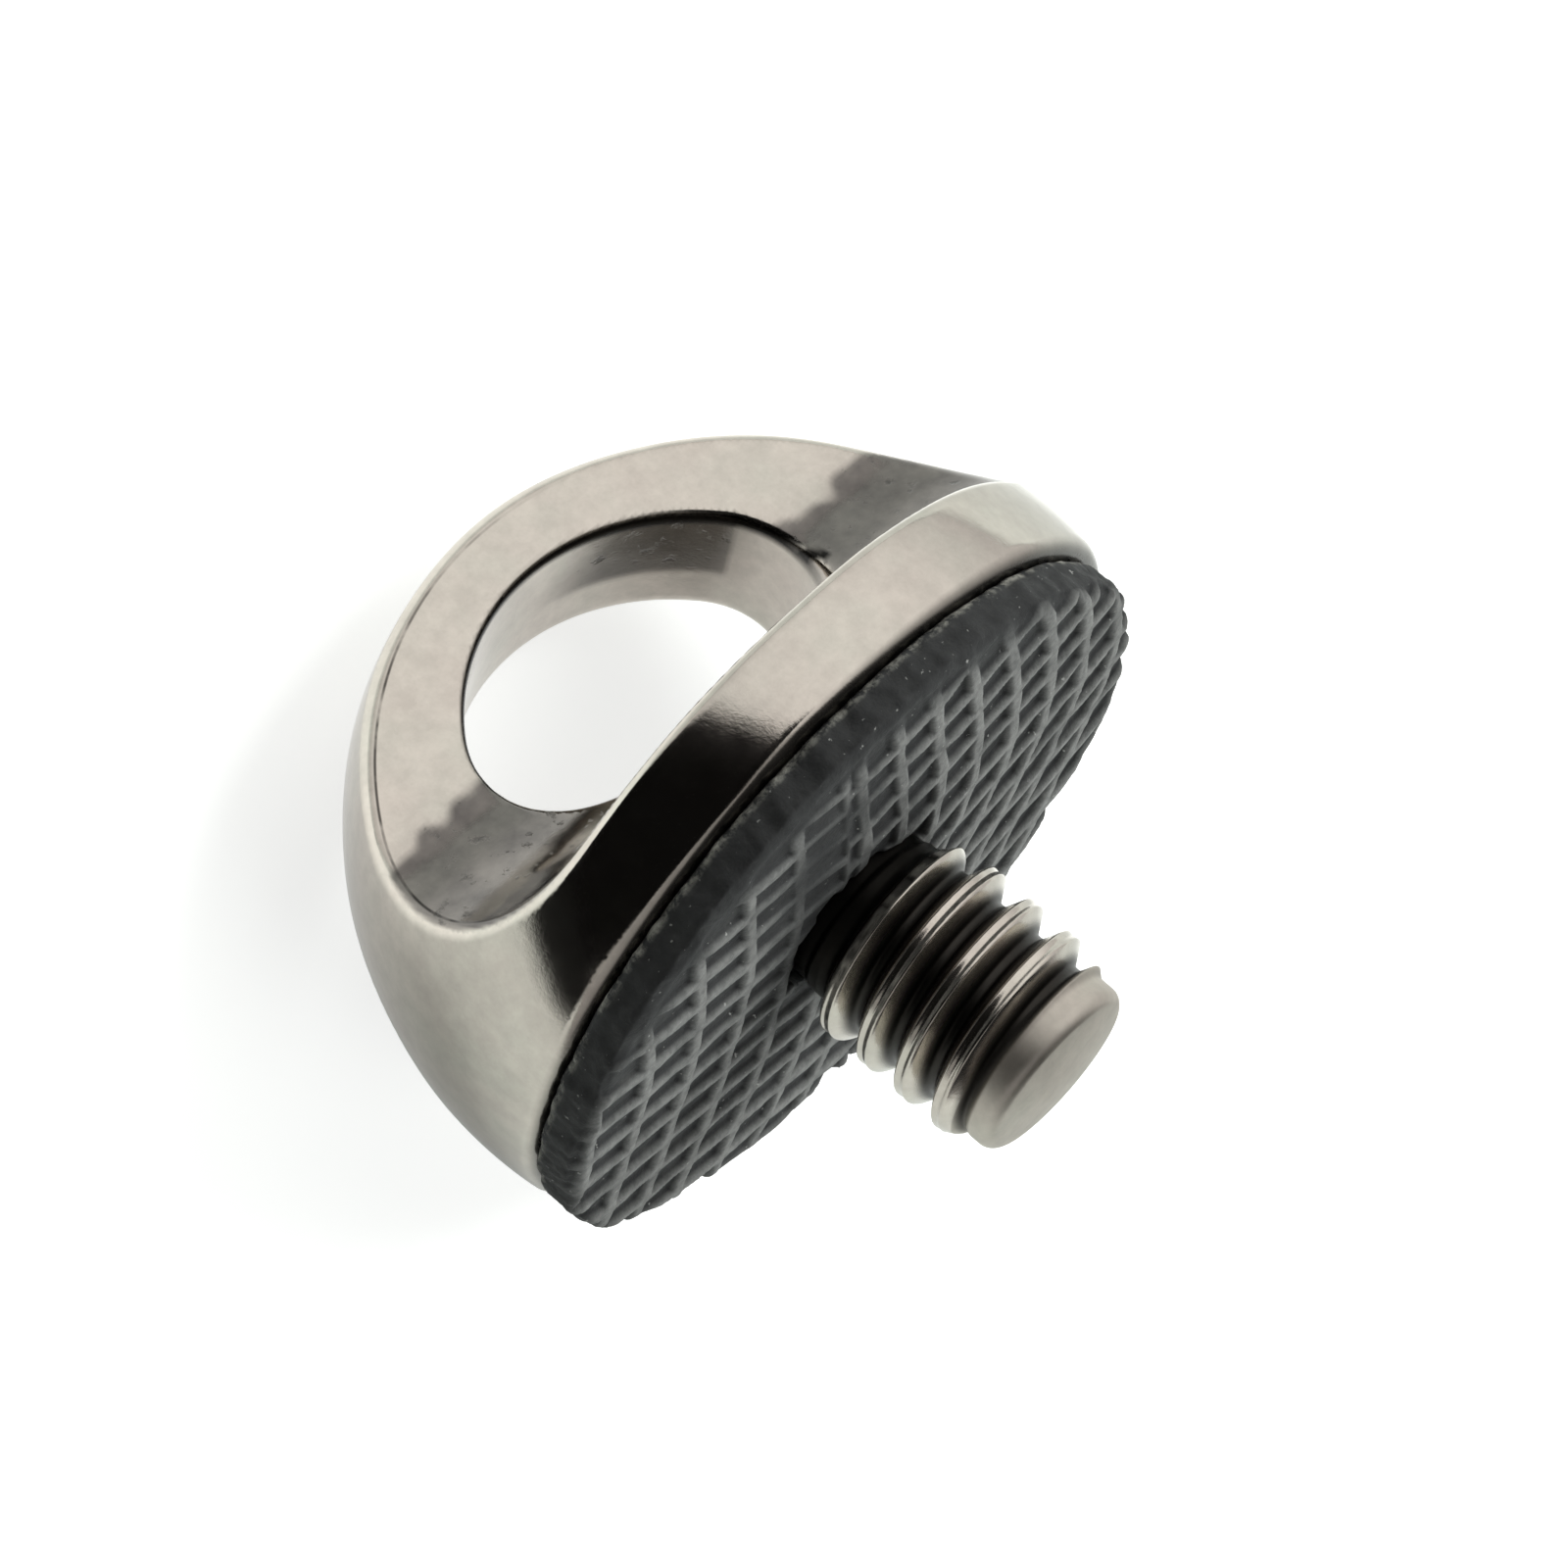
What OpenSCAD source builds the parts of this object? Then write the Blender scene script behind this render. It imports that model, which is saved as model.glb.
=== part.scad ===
// Strap adapter screw: a cast metal eye with its own threaded stud, and a rubber
// grip washer on the stud. The camera is screwed onto the stud, so that its base
// squeezes the washer, and the strap's hook goes through the eye.
//
// Both pieces are drawn upright on the stud's axis, with the seat at height 0, the
// eye above it and the stud below. The finished pair is then laid down as it comes
// to rest on a table, on the rim of its base and the top edge of the eye.

/* [Cast head] */
// Radius of the ball that the head is cut from
body_r = 10.9; // [10.4:0.1:11.6]
// Height of the ball's centre above the seat
body_mid_h = 1.9; // [1.4:0.1:2.4]
// Height of the rim left standing round the base
rim_h = 2.6; // [2.2:0.1:3.0]
// Thickness of the flat plate that holds the eye
plate_t = 4.5; // [3.6:0.1:5.4]
// Radius of the hollow that leads from the plate out to the rim
hollow_r = 5.3; // [4.4:0.1:5.8]

/* [Strap eye] */
// Radius of the eye's arched top
eye_r = 6.3; // [5.9:0.1:6.6]
// Height of the arch's centre above the seat
eye_mid_h = 4.3; // [4.0:0.1:4.6]
// Distance of each lower corner's centre from the middle
eye_corner_x = 2.6; // [2.2:0.1:3.0]
// Height of each lower corner's centre above the seat
eye_corner_h = 6.5; // [6.2:0.1:6.8]

/* [Stud] */
// Diameter over the thread's flat crests
thread_d = 6.0; // [5.8:0.05:6.3]
// Diameter at the bottom of the thread
root_d = 4.76; // [4.6:0.02:4.9]
// Distance from one crest to the next
pitch = 1.27; // [1.25:0.01:1.3]
// Angle between the two flanks of a groove
flank_angle = 60; // [55:1:62]
// Width of a groove at its bottom
groove_root_w = 0.16; // [0.1:0.01:0.2]
// Length of the plain start of the thread, beside the washer
first_land = 0.7; // [0.6:0.05:0.8]
// Length of the stud below the seat
stud_len = 8.1; // [7.6:0.1:9.0]
// Diameter of the plain neck that the washer sits round
neck_d = 4.6; // [4.2:0.1:4.6]
// Diameter of the smooth end
tip_d = 4.6; // [4.2:0.1:4.6]
// Length of the smooth end
tip_len = 0.5; // [0.4:0.05:0.8]
// Radius of the rounded edge of the end
tip_edge_r = 0.35; // [0.2:0.05:0.4]

/* [Grip washer] */
// Radius of the washer
washer_r = 10.6; // [10.0:0.1:10.8]
// Thickness of the washer over its ridges
washer_t = 1.4; // [1.2:0.1:2.0]
// Diameter of the hole that stretches over the thread
washer_hole_d = 5.5; // [5.2:0.1:5.7]
// Radius of the washer's rounded outer edges
washer_edge_r = 0.3; // [0.2:0.05:0.4]
// Sideways shift of the washer on its stud
washer_shift = 0.2; // [0:0.05:0.25]
// Height of the grip ridges
ridge_h = 0.26; // [0.15:0.01:0.3]
// Width of a ridge along its crest
ridge_top_w = 0.34; // [0.25:0.01:0.45]
// Width of a ridge at its foot
ridge_foot_w = 0.6; // [0.5:0.01:0.7]
// Spacing of the ridges that run nearly along the eye
long_ridge_gap = 1.65; // [1.5:0.05:1.9]
// Spacing of the ridges that cross them
cross_ridge_gap = 1.5; // [1.4:0.05:1.8]
// Direction of the first ridges, from the plate
long_ridge_angle = 88; // [80:1:100]
// Direction of the ridges that cross them
cross_ridge_angle = -4; // [-15:1:10]

/* [Hidden] */
$fn = 96;
// Distance that a cutting tool runs past what it cuts
past = 1;

// Radius of the rim's upper edge on the ball
rim_r = sqrt(body_r * body_r - (rim_h - body_mid_h) * (rim_h - body_mid_h));
// Height of the plate's arched top edge
plate_edge_h = body_mid_h + sqrt(body_r * body_r - plate_t * plate_t / 4);
body_top_h = body_mid_h + body_r;

// The eye's lower corners touch its arch from inside, so their radius follows
corner_to_arch = sqrt(eye_corner_x * eye_corner_x + pow(eye_corner_h - eye_mid_h, 2));
eye_corner_r = eye_r - corner_to_arch;
eye_side_x = eye_r * eye_corner_x / corner_to_arch;
eye_side_h = eye_mid_h + eye_r * (eye_corner_h - eye_mid_h) / corner_to_arch;

// The thread runs at its full diameter from the washer's face to the tapered end
thread_len = stud_len - washer_t - tip_len - (thread_d - tip_d) / 2;
groove_w = groove_root_w + (thread_d - root_d) * tan(flank_angle / 2);
groove_count = 1 + floor((thread_len - first_land - groove_w) / pitch);

// Leaning angle of the finished piece as it lies on its rim and its arch
lie_angle = atan2(plate_edge_h - rim_h, rim_r - plate_t / 2);

// Outline of the space cut away beside the plate, drawn across the plate
module side_cut_outline() {
    difference() {
        translate([plate_t / 2, rim_h])
            square([body_r, body_top_h]);
        translate([plate_t / 2, rim_h])
            difference() {
                square([hollow_r, hollow_r]);
                translate([hollow_r, hollow_r])
                    circle(r = hollow_r);
            }
    }
}

module side_cut() {
    rotate([90, 0, 90])
        linear_extrude(height = 2 * (body_r + past), center = true)
            side_cut_outline();
}

// Outline of the eye: an arch over two round corners
module eye_outline() {
    intersection() {
        translate([0, eye_mid_h])
            circle(r = eye_r);
        translate([-eye_r, eye_side_h])
            square([2 * eye_r, 2 * eye_r]);
    }
    for (side = [-1, 1])
        translate([side * eye_corner_x, eye_corner_h])
            circle(r = eye_corner_r);
    polygon([
        [-eye_corner_x, eye_corner_h - eye_corner_r],
        [eye_corner_x, eye_corner_h - eye_corner_r],
        [eye_corner_x, eye_corner_h],
        [eye_side_x, eye_side_h],
        [-eye_side_x, eye_side_h],
        [-eye_corner_x, eye_corner_h]
    ]);
}

module eye_cut() {
    rotate([90, 0, 0])
        linear_extrude(height = plate_t + 2 * hollow_r + 2 * past, center = true)
            eye_outline();
}

// The ball, flat at the seat, with the eye and the space on both sides cut away
module cast_head() {
    difference() {
        translate([0, 0, body_mid_h])
            sphere(r = body_r, $fn = 144);
        translate([0, 0, -body_r])
            cube([4 * body_r, 4 * body_r, 2 * body_r], center = true);
        side_cut();
        mirror([0, 1, 0])
            side_cut();
        eye_cut();
    }
}

// Half section of the stud before its thread is cut
module stud_blank_section() {
    difference() {
        polygon([
            [0, past / 2],
            [neck_d / 2, past / 2],
            [neck_d / 2, -washer_t],
            [thread_d / 2, -washer_t],
            [thread_d / 2, -washer_t - thread_len],
            [tip_d / 2, tip_len - stud_len],
            [tip_d / 2, -stud_len],
            [0, -stud_len]
        ]);
        translate([tip_d / 2 - tip_edge_r, -stud_len])
            difference() {
                translate([0, -past])
                    square([tip_edge_r + past, tip_edge_r + past]);
                translate([0, tip_edge_r])
                    circle(r = tip_edge_r);
                translate([-past, tip_edge_r])
                    square([past + tip_edge_r, past]);
            }
    }
}

// Section of one groove, open beyond the crests on both sides of it
module groove_section() {
    root_r = root_d / 2;
    out_r = thread_d / 2 + past / 4;
    out_w = groove_w + (past / 2) * tan(flank_angle / 2);
    polygon([
        [root_r, groove_root_w / 2],
        [out_r, out_w / 2],
        [out_r, -out_w / 2],
        [root_r, -groove_root_w / 2]
    ]);
}

// The thread as even rings at its pitch, which shows its crests and its depth
module stud() {
    rotate_extrude()
        difference() {
            stud_blank_section();
            for (i = [0:groove_count - 1])
                translate([0, -washer_t - first_land - groove_w / 2 - i * pitch])
                    groove_section();
        }
}

// Section of the washer's body, rounded at its outer edges
module washer_section() {
    hole_r = washer_hole_d / 2;
    translate([hole_r, -washer_t])
        square([washer_r - washer_edge_r - hole_r, washer_t]);
    translate([hole_r, washer_edge_r - washer_t])
        square([washer_r - hole_r, washer_t - 2 * washer_edge_r]);
    for (h = [washer_edge_r - washer_t, -washer_edge_r])
        translate([washer_r - washer_edge_r, h])
            circle(r = washer_edge_r, $fn = 32);
}

// One straight ridge across the washer, its crest on the outer face
module ridge() {
    rotate([90, 0, 0])
        linear_extrude(height = 2 * washer_r + 2 * past, center = true)
            polygon([
                [-ridge_top_w / 2, -washer_t],
                [ridge_top_w / 2, -washer_t],
                [ridge_foot_w / 2, ridge_h - washer_t],
                [ridge_foot_w / 2, ridge_h - washer_t + ridge_h],
                [-ridge_foot_w / 2, ridge_h - washer_t + ridge_h],
                [-ridge_foot_w / 2, ridge_h - washer_t]
            ]);
}

// Parallel ridges over the whole washer, running at an angle to the plate
module ridge_row(gap, angle) {
    half_count = floor(washer_r / gap);
    rotate([0, 0, angle - 90])
        for (i = [-half_count:half_count])
            translate([i * gap, 0, 0])
                ridge();
}

module upright_washer() {
    translate([-washer_shift, 0, 0])
        intersection() {
            rotate_extrude()
                washer_section();
            union() {
                translate([0, 0, ridge_h - washer_t])
                    cylinder(r = washer_r + past, h = washer_t);
                ridge_row(long_ridge_gap, long_ridge_angle);
                ridge_row(cross_ridge_gap, cross_ridge_angle);
            }
        }
}

// Lays an upright piece down: the middle of the washer's outer face is the origin
module laid_down() {
    rotate([0, 0, 90])
        rotate([180 + lie_angle, 0, 0])
            translate([0, 0, washer_t])
                children();
}

module eyelet_body() {
    color("#a09d98")
        laid_down()
            union() {
                cast_head();
                stud();
            }
}

module grip_washer() {
    color("#2d2e2f")
        laid_down()
            upright_washer();
}

eyelet_body();
grip_washer();
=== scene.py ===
"""A camera strap adapter screw: a polished cast eye with its own stud, and a rubber grip washer.

Every piece is modelled upright in millimetres, with the metal seat at height 0, the eye above
it and the stud below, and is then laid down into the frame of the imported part, in metres.
"""

import logging
import math
from dataclasses import dataclass, field
from enum import Enum
from typing import Optional, Sequence

import bpy
import numpy as np
from mathutils import Matrix, Vector


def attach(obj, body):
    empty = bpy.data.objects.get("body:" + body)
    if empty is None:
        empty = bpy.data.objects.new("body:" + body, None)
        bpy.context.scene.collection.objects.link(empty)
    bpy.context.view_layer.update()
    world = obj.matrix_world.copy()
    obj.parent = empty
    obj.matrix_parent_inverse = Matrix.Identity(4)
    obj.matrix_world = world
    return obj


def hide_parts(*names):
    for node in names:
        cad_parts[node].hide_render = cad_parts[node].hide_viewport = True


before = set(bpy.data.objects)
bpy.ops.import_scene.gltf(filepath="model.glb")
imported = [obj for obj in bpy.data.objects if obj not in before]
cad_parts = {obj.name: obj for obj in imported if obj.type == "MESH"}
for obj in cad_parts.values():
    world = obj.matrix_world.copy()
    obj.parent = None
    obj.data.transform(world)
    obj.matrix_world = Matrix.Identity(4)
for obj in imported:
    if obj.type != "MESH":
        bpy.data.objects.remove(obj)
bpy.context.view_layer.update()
LOG = logging.getLogger("strap_adapter")

MM = 0.001
SEED = 7
WASHER_T = 1.4
LIE_ANGLE = 49.115


class Slot(Enum):
    """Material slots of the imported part."""

    METAL = "plated_metal"
    RUBBER = "rubber"


def lying_matrix() -> Matrix:
    """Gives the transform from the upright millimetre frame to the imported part's frame."""
    turn = Matrix.Rotation(math.radians(90.0), 4, "Z")
    tilt = Matrix.Rotation(math.radians(180.0 + LIE_ANGLE), 4, "X")
    return Matrix.Scale(MM, 4) @ turn @ tilt @ Matrix.Translation((0.0, 0.0, WASHER_T))


def select_only(obj: bpy.types.Object) -> None:
    """Selects and activates one object.

    Args:
        obj: The object that the next operators work on.
    """
    bpy.ops.object.select_all(action="DESELECT")
    obj.select_set(True)
    bpy.context.view_layer.objects.active = obj


def coords_of(obj: bpy.types.Object) -> np.ndarray:
    """Reads the vertex positions of a mesh.

    Args:
        obj: A mesh object.

    Returns:
        An array with one row for each vertex.
    """
    flat = np.empty(len(obj.data.vertices) * 3)
    obj.data.vertices.foreach_get("co", flat)
    return flat.reshape(-1, 3)


def write_coords(obj: bpy.types.Object, coords: np.ndarray) -> None:
    """Moves the vertices of a mesh.

    Args:
        obj: A mesh object.
        coords: The new positions, one row for each vertex.
    """
    obj.data.vertices.foreach_set("co", coords.ravel())
    obj.data.update()


def write_attribute(obj: bpy.types.Object, name: str, values: np.ndarray) -> None:
    """Stores one number for each vertex, for a material to read.

    Args:
        obj: A mesh object.
        name: The attribute's name.
        values: One value for each vertex.
    """
    layer = obj.data.attributes.new(name=name, type="FLOAT", domain="POINT")
    layer.data.foreach_set("value", values.astype(np.float32))


def smooth_step(x: np.ndarray, low: float, high: float) -> np.ndarray:
    """Rises smoothly from 0 to 1 between two values.

    Args:
        x: The values to map.
        low: Where the rise starts.
        high: Where the rise ends.

    Returns:
        The mapped values.
    """
    t = np.clip((x - low) / (high - low), 0.0, 1.0)
    return t * t * (3.0 - 2.0 * t)


@dataclass
class WaveNoise:
    """Smooth noise made of a few plane waves, the same on each run.

    Attributes:
        wavelength: The mean length of a wave in mm.
        count: How many waves are added up.
        seed: The start of the random numbers.
    """

    wavelength: float
    count: int = 24
    seed: int = SEED
    _dirs: np.ndarray = field(init=False)
    _phases: np.ndarray = field(init=False)

    def __post_init__(self) -> None:
        """Draws the directions and the phases of the waves."""
        rng = np.random.default_rng(self.seed)
        dirs = rng.normal(size=(self.count, 3))
        dirs /= np.linalg.norm(dirs, axis=1)[:, None]
        lengths = self.wavelength * rng.uniform(0.6, 1.7, self.count)
        self._dirs = dirs * (2.0 * math.pi / lengths)[:, None]
        self._phases = rng.uniform(0.0, 2.0 * math.pi, self.count)

    def at(self, points: np.ndarray) -> np.ndarray:
        """Reads the noise.

        Args:
            points: Positions in mm, one row each.

        Returns:
            Values of about -1 to 1.
        """
        total = np.zeros(len(points))
        for direction, phase in zip(self._dirs, self._phases):
            total += np.sin(points @ direction + phase)
        return total / math.sqrt(self.count)


@dataclass
class NodeSums:
    """Adds maths nodes to a node tree.

    Attributes:
        tree: The node tree that is added to.
    """

    tree: bpy.types.NodeTree

    def maths(
        self, operation: str, a: bpy.types.NodeSocket, b: "bpy.types.NodeSocket | float"
    ) -> bpy.types.NodeSocket:
        """Adds a maths node.

        Args:
            operation: The node's operation.
            a: The first value.
            b: The second value, a socket or a number.

        Returns:
            The socket of the result.
        """
        node = self.tree.nodes.new("ShaderNodeMath")
        node.operation = operation
        self.tree.links.new(a, node.inputs[0])
        if isinstance(b, float):
            node.inputs[1].default_value = b
        else:
            self.tree.links.new(b, node.inputs[1])
        return node.outputs[0]

    def along(
        self, where: bpy.types.NodeSocket, axis: tuple[float, float, float]
    ) -> bpy.types.NodeSocket:
        """Measures a position or a direction along an axis.

        Args:
            where: The position or direction.
            axis: The axis.

        Returns:
            The socket of the length along it.
        """
        node = self.tree.nodes.new("ShaderNodeVectorMath")
        node.operation = "DOT_PRODUCT"
        self.tree.links.new(where, node.inputs[0])
        node.inputs[1].default_value = axis
        return node.outputs["Value"]

    def rise(
        self,
        value: bpy.types.NodeSocket,
        low: float,
        high: float,
        to_low: float = 0.0,
        to_high: float = 1.0,
    ) -> bpy.types.NodeSocket:
        """Maps a span of values smoothly to another.

        Args:
            value: The value to map.
            low: Where the rise starts.
            high: Where the rise ends.
            to_low: What the start becomes.
            to_high: What the end becomes.

        Returns:
            The socket of the mapped value.
        """
        node = self.tree.nodes.new("ShaderNodeMapRange")
        node.interpolation_type = "SMOOTHSTEP"
        self.tree.links.new(value, node.inputs["Value"])
        node.inputs["From Min"].default_value = low
        node.inputs["From Max"].default_value = high
        node.inputs["To Min"].default_value = to_low
        node.inputs["To Max"].default_value = to_high
        return node.outputs["Result"]

    def window(
        self, angle: bpy.types.NodeSocket, low: float, high: float, soft: float
    ) -> bpy.types.NodeSocket:
        """Gives 1 between two angles and 0 outside them, with soft edges.

        Args:
            angle: The angle in radians.
            low: The lower angle in degrees.
            high: The upper angle in degrees.
            soft: Half the width of an edge in degrees.

        Returns:
            The socket of the value.
        """
        start, end, edge = (math.radians(value) for value in (low, high, soft))
        up = self.rise(angle, start - edge, start + edge)
        return self.maths("MULTIPLY", up, self.rise(angle, end + edge, end - edge))

    def azimuth(self, where: bpy.types.NodeSocket) -> bpy.types.NodeSocket:
        """Gives the angle round the upright axis.

        Args:
            where: The position or direction.

        Returns:
            The socket of the angle in radians.
        """
        return self.maths(
            "ARCTAN2", self.along(where, (0.0, 1.0, 0.0)), self.along(where, (1.0, 0.0, 0.0))
        )


class Finish:
    """A procedural material, built once.

    Attributes:
        name: The material's name.
        material: The material itself.
        tree: Its node tree.
        output: The node that hands the surface over.
        shader: The surface shader.
        where: The socket of the position on the object.
        sums: Adds maths nodes to the tree.
    """

    name: str = "finish"

    def __init__(self) -> None:
        """Makes an empty material with its output."""
        self.material = bpy.data.materials.new(self.name)
        self.material.use_nodes = True
        self.tree = self.material.node_tree
        self.tree.nodes.clear()
        self.output = self.tree.nodes.new("ShaderNodeOutputMaterial")
        self.shader = self.tree.nodes.new("ShaderNodeBsdfPrincipled")
        self.tree.links.new(self.shader.outputs["BSDF"], self.output.inputs["Surface"])
        self.where = self.tree.nodes.new("ShaderNodeTexCoord").outputs["Object"]
        self.sums = NodeSums(self.tree)
        self.build()

    def build(self) -> None:
        """Adds the nodes of this finish."""
        raise NotImplementedError

    def noise(self, per_mm: float, detail: float = 4.0, rough: float = 0.55) -> bpy.types.NodeSocket:
        """Adds a noise texture on the object's own coordinates.

        Args:
            per_mm: How many cells of noise a millimetre holds.
            detail: The number of octaves.
            rough: How strong the finer octaves are.

        Returns:
            The socket of the noise's value.
        """
        node = self.tree.nodes.new("ShaderNodeTexNoise")
        node.inputs["Scale"].default_value = per_mm / MM
        node.inputs["Detail"].default_value = detail
        node.inputs["Roughness"].default_value = rough
        self.tree.links.new(self.where, node.inputs["Vector"])
        return node.outputs["Fac"]

    def attribute(self, name: str) -> bpy.types.NodeSocket:
        """Reads a number stored on the mesh.

        Args:
            name: The attribute's name.

        Returns:
            The socket of its value.
        """
        node = self.tree.nodes.new("ShaderNodeAttribute")
        node.attribute_name = name
        return node.outputs["Fac"]

    def ramp(
        self, value: bpy.types.NodeSocket, stops: Sequence[tuple[float, tuple[float, float, float]]]
    ) -> bpy.types.NodeSocket:
        """Maps a value to colours.

        Args:
            value: The value to map.
            stops: Pairs of a position and a colour.

        Returns:
            The socket of the colour.
        """
        node = self.tree.nodes.new("ShaderNodeValToRGB")
        self.tree.links.new(value, node.inputs["Fac"])
        elements = node.color_ramp.elements
        for i, (at, colour) in enumerate(stops):
            element = elements[i] if i < 2 else elements.new(at)
            element.position = at
            element.color = (*colour, 1.0)
        return node.outputs["Color"]

    def spread(
        self, value: bpy.types.NodeSocket, low: float, high: float, to_low: float, to_high: float
    ) -> bpy.types.NodeSocket:
        """Maps a span of values to another span.

        Args:
            value: The value to map.
            low: The start of its span.
            high: The end of its span.
            to_low: What the start becomes.
            to_high: What the end becomes.

        Returns:
            The socket of the mapped value.
        """
        node = self.tree.nodes.new("ShaderNodeMapRange")
        self.tree.links.new(value, node.inputs["Value"])
        node.inputs["From Min"].default_value = low
        node.inputs["From Max"].default_value = high
        node.inputs["To Min"].default_value = to_low
        node.inputs["To Max"].default_value = to_high
        return node.outputs["Result"]

    def blend(
        self,
        factor: bpy.types.NodeSocket,
        a: "bpy.types.NodeSocket | tuple[float, float, float]",
        b: "bpy.types.NodeSocket | tuple[float, float, float]",
    ) -> bpy.types.NodeSocket:
        """Mixes two colours.

        Args:
            factor: 0 gives the first colour and 1 the second.
            a: The first colour, a socket or three numbers.
            b: The second colour, a socket or three numbers.

        Returns:
            The socket of the mixed colour.
        """
        node = self.tree.nodes.new("ShaderNodeMix")
        node.data_type = "RGBA"
        self.tree.links.new(factor, node.inputs["Factor"])
        for value, socket in ((a, node.inputs[6]), (b, node.inputs[7])):
            if isinstance(value, tuple):
                socket.default_value = (*value, 1.0)
            else:
                self.tree.links.new(value, socket)
        return node.outputs[2]

    def bump(
        self,
        height: bpy.types.NodeSocket,
        depth_mm: float,
        below: Optional[bpy.types.NodeSocket] = None,
    ) -> bpy.types.NodeSocket:
        """Adds a bump node.

        Args:
            height: The height, from 0 to 1.
            depth_mm: What a height of 1 stands for.
            below: The normal of an earlier bump.

        Returns:
            The socket of the normal.
        """
        node = self.tree.nodes.new("ShaderNodeBump")
        node.inputs["Distance"].default_value = depth_mm * MM
        self.tree.links.new(height, node.inputs["Height"])
        if below is not None:
            self.tree.links.new(below, node.inputs["Normal"])
        return node.outputs["Normal"]


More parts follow.
